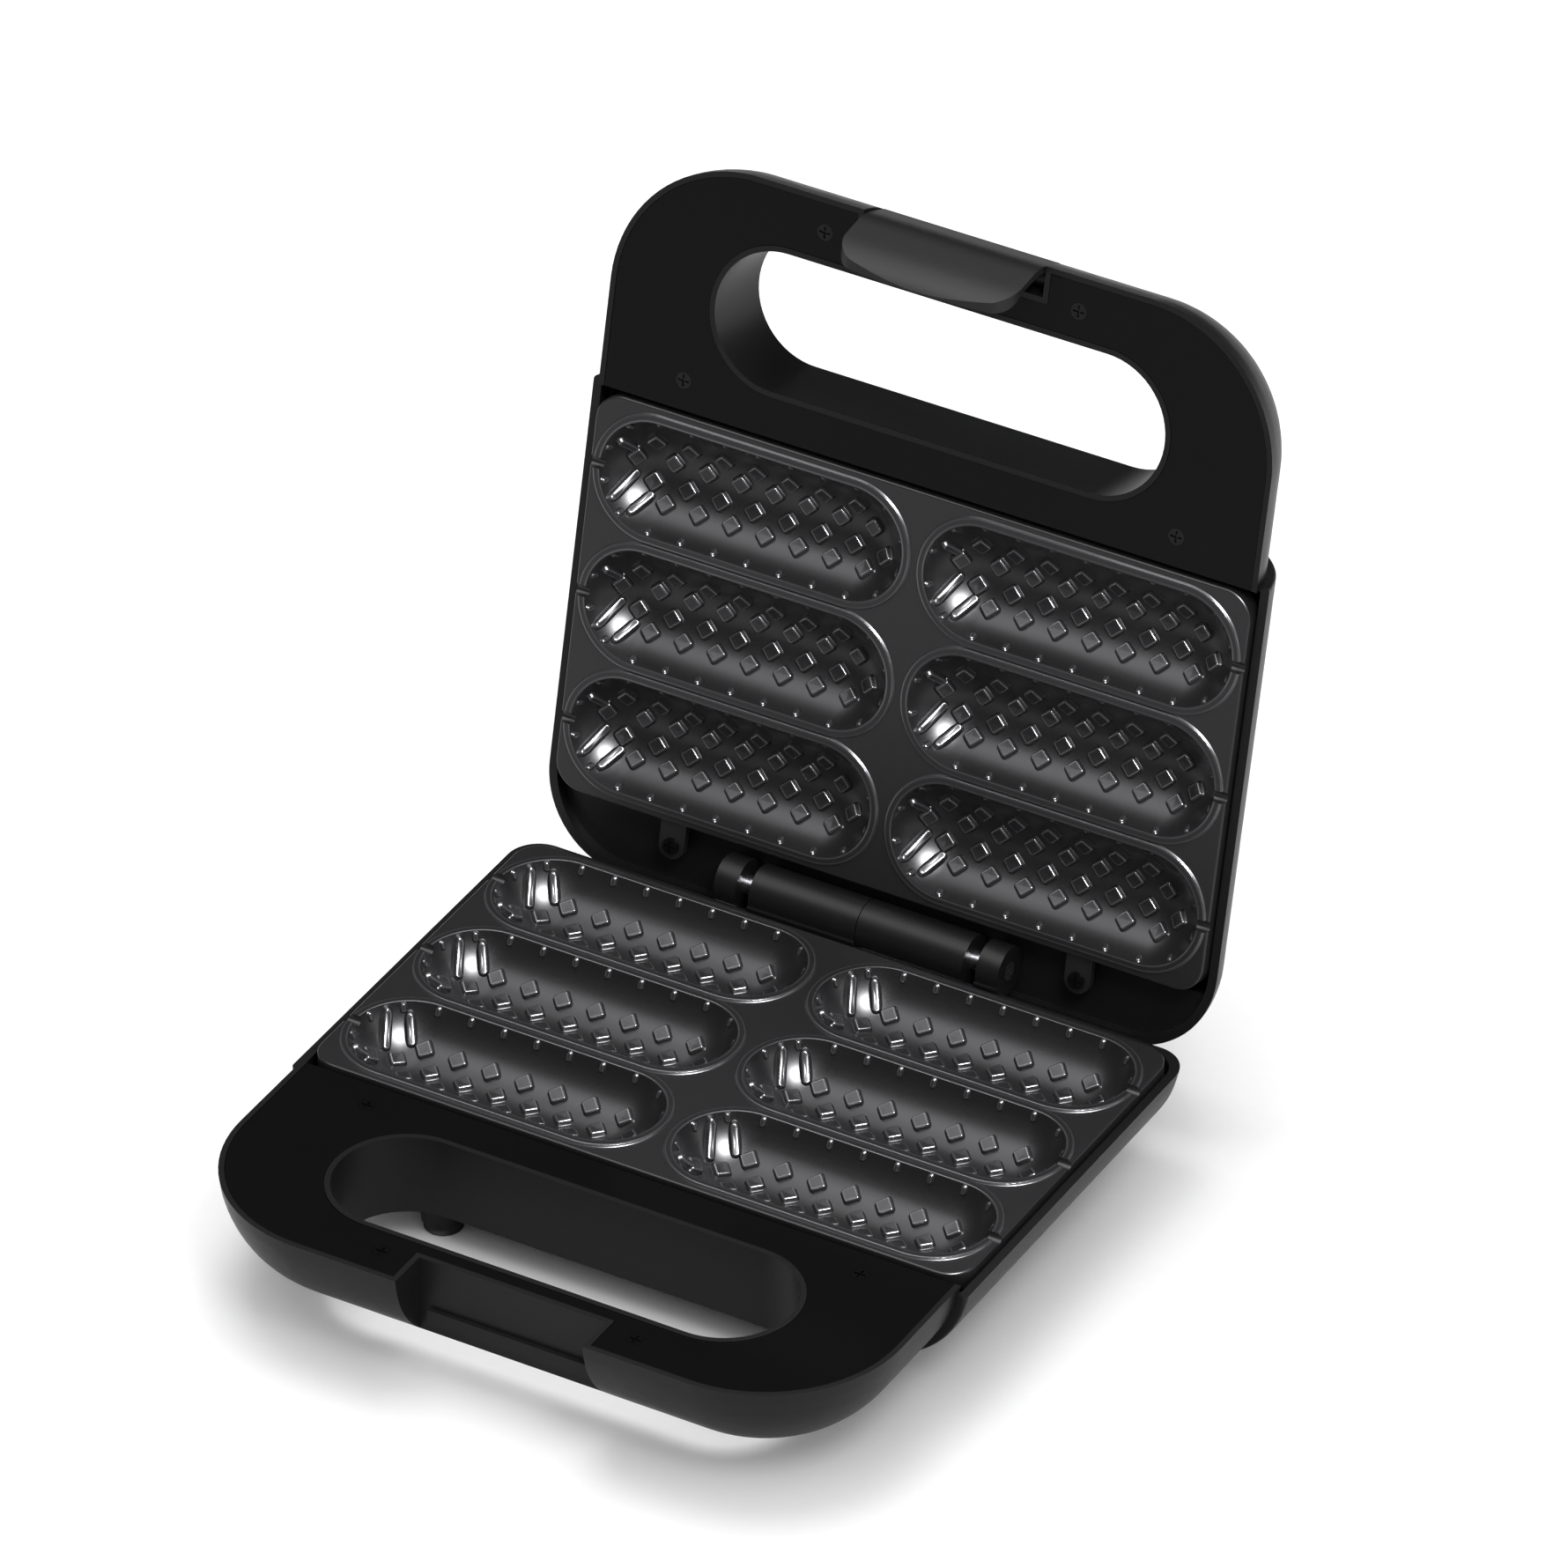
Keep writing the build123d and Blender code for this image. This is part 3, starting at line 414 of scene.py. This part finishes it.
# Braided glass-fibre sleeving on the leads: off-white and dull, with the braid's relief.
BRAIDED_SLEEVE = finish_of("braided_glass_sleeve", "#a9a498", "#c9c4b8", (0.7, 0.85), 0.6, 0.05)
# Phenolic moulding of the thermostat: dark brown with a low shine.
PHENOLIC = finish_of("moulded_phenolic", "#2c1d14", "#38261b", (0.35, 0.45), 0.8, 0.01)
# Fired steatite of the fuse's body: chalky off-white.
STEATITE = finish_of("fired_steatite", "#d6d2c6", "#e2dfd4", (0.45, 0.6), 1.0, 0.02)
# Polyamide moulding of the terminal block and clamp: warm grey with a wide sheen.
POLYAMIDE = finish_of("moulded_polyamide", "#a3a29c", "#b0afa9", (0.4, 0.5), 0.8, 0.01)
# Tinted polycarbonate lens over a lamp: deep red and glossy.
TINTED_PC = finish_of("tinted_polycarbonate", "#7a0f0a", "#86130d", (0.08, 0.14), 20.0, 0.0)
# Blown glass of the lamps, seen from outside as a pale, very glossy bead.
BLOWN_GLASS = finish_of("blown_lamp_glass", "#d9dadb", "#e6e7e8", (0.03, 0.06), 10.0, 0.0)

NODE_FINISH = {
    "lower_shell": TEXTURED_PP,
    "upper_shell": TEXTURED_PP,
    "lower_handle_panel": POLISHED_ABS,
    "upper_handle_panel": POLISHED_ABS,
    "lower_plate": COATED_CASTING,
    "upper_plate": COATED_CASTING,
    "latch": MOULDED_NYLON,
    "lower_panel_screws": BLACKED_STEEL,
    "upper_panel_screws": BLACKED_STEEL,
    "lower_plate_screws": BLACKED_STEEL,
    "upper_plate_screws": BLACKED_STEEL,
    "hinge_pin": GROUND_STEEL,
    "latch_pin": GROUND_STEEL,
    "latch_spring": GROUND_STEEL,
    "lower_heater": ANNEALED_STEEL,
    "upper_heater": ANNEALED_STEEL,
    "lower_reflector": ROLLED_SHEET,
    "upper_reflector": ROLLED_SHEET,
    "rubber_feet": MOULDED_RUBBER,
    "cord_bush": MOULDED_RUBBER,
    "lower_wiring": BRAIDED_SLEEVE,
    "upper_wiring": BRAIDED_SLEEVE,
    "thermostat": PHENOLIC,
    "thermal_fuse": STEATITE,
    "terminal_block": POLYAMIDE,
    "cord_clamp": POLYAMIDE,
    "lamp_lenses": TINTED_PC,
    "lamps": BLOWN_GLASS,
}
MERGE = 0.02 * MM
SHARP = radians(28)
FACE_WEIGHT = 100


def soften(piece):
    """Shades a CAD node smooth between its sharp edges, with modifiers.

    Its loose triangles are merged, split again at the sharp edges, and large faces lead the shading, so
    that a flat face stays flat beside a round one.
    """
    piece.data.polygons.foreach_set("use_smooth", np.ones(len(piece.data.polygons), bool))
    weld = piece.modifiers.new("weld", "WELD")
    weld.merge_threshold = MERGE
    split = piece.modifiers.new("sharp_edges", "EDGE_SPLIT")
    split.split_angle = SHARP
    level = piece.modifiers.new("flat_faces", "WEIGHTED_NORMAL")
    level.weight = FACE_WEIGHT


for node, material in NODE_FINISH.items():
    piece = frame["nodes"][node]
    piece.data.materials.clear()
    piece.data.materials.append(material)
    soften(piece)


# ---------------------------------------------------------------- detail of the two plates
def cavity_details(plate):
    """Points, faces and wear of each kind of detail of a plate, in plate millimetres."""
    side = STUD_HALF / sqrt(2)
    nub_xy, nub_turn = nub_places()
    ribs = [
        pads([middle], half + FINGER_HALF, FINGER_HALF, FINGER_HIGH, FINGER_HALF, heading)
        for middle, half, heading in zip(*finger_places())
    ]
    raised = {
        "studs": pads(stud_places(plate), side, side, STUD_HIGH, STUD_CORNER, STUD_TURN),
        "nubs": pads(nub_xy, *NUB_HALF, NUB_HIGH, NUB_HALF[0], nub_turn),
        "finger_ribs": join(ribs),
    }
    # Each pad ring's share of the painted edge highlight.
    pad_highlight = np.repeat(PAD_EDGE_HIGHLIGHT, PAD_AROUND)
    details = {label: (*over_all_cavities(*part), pad_highlight) for label, part in raised.items()}
    return {**details, "beads": (*beads(), np.array(BEAD_EDGE_HIGHLIGHT))}


def dress_plate(plate, body, place, outward):
    """Puts a plate's details on it; outward is False where place turns them inside out."""
    for label, (points, faces, highlight) in cavity_details(plate).items():
        faces = faces if outward else faces[:, ::-1]
        # Each point's share of the painted edge highlight, a paler colour along the edges.
        edge = np.tile(highlight, len(points) // len(highlight))
        piece = mesh_object(f"{plate}_{label}", place(points), faces, edge, body, COATED_CASTING)


dress_plate("lower_plate", "base", to_base, True)
dress_plate("upper_plate", "lid", to_lid, False)


# ---------------------------------------------------------------- stage, camera and light
FLOOR_HALF = 3.0
FLOOR_CORNERS = ((-1, -1), (1, -1), (1, 1), (-1, 1))
floor_mesh = bpy.data.meshes.new("floor")
corners = [(x * FLOOR_HALF, y * FLOOR_HALF, 0.0) for x, y in FLOOR_CORNERS]
floor_mesh.from_pydata(corners, [], [(0, 1, 2, 3)])
floor = bpy.data.objects.new("floor", floor_mesh)
bpy.context.scene.collection.objects.link(floor)
# Painted paper: an even, dead matt white.
floor_mesh.materials.append(finish_of("painted_backdrop", "#f4f4f4", "#f8f8f8", (0.9, 1.0), 5.0, 0.0))


def view_direction(azimuth, elevation):
    """Unit vector from the object towards a camera at that azimuth and elevation, in degrees."""
    a, e = radians(azimuth), radians(elevation)
    return Vector((sin(a) * cos(e), -cos(a) * cos(e), sin(e)))


AIM = Vector((-0.0117, 0.0447, 0.1064))
CAMERA_FAR = 4.6266
CAMERA_AZIMUTH, CAMERA_ELEVATION = 29.85, 34.94
camera_data = bpy.data.cameras.new("camera")
camera_data.lens = 353.0
camera_data.sensor_width = 36.0
camera_data.clip_end = 100.0
camera = bpy.data.objects.new("camera", camera_data)
toward = view_direction(CAMERA_AZIMUTH, CAMERA_ELEVATION)
camera.location = AIM + toward * CAMERA_FAR
camera.rotation_euler = (-toward).to_track_quat("-Z", "Y").to_euler()
bpy.context.scene.collection.objects.link(camera)
bpy.context.scene.camera = camera


# Each softbox: azimuth and elevation in degrees, distance and size in metres, power in watts, and
# whether it lights matt surfaces too or only shows in reflections.
SOFTBOXES = {
    "key_right": (56, 56, 2.2, 0.7, 380, False),
    "front_left": (-54, 62, 2.4, 1.3, 32, False),
    "edge_right": (95, 12, 2.4, 0.8, 8, False),
    "floor_light": (-140, 70, 2.4, 1.4, 26, True),
}


def softbox(name, azimuth, elevation, distance, size, power, lights_matt):
    """A square area light aimed at the object."""
    data = bpy.data.lights.new(name, "AREA")
    data.shape = "SQUARE"
    data.size = size
    data.energy = power
    lamp = bpy.data.objects.new(name, data)
    way = view_direction(azimuth, elevation)
    lamp.location = AIM + way * distance
    lamp.rotation_euler = (-way).to_track_quat("-Z", "Y").to_euler()
    lamp.visible_diffuse = lights_matt
    bpy.context.scene.collection.objects.link(lamp)


for lamp_name, settings in SOFTBOXES.items():
    softbox(lamp_name, *settings)

# The white world lights matt surfaces and stays out of reflections.
WORLD_STRENGTH = 0.95
world = bpy.data.worlds.new("studio")
bpy.context.scene.world = world
world.use_nodes = True
background = world.node_tree.nodes["Background"]
background.inputs["Color"].default_value = linear("#ffffff")
background.inputs["Strength"].default_value = WORLD_STRENGTH
world.cycles_visibility.glossy = False
bpy.context.scene.view_settings.view_transform = "Standard"
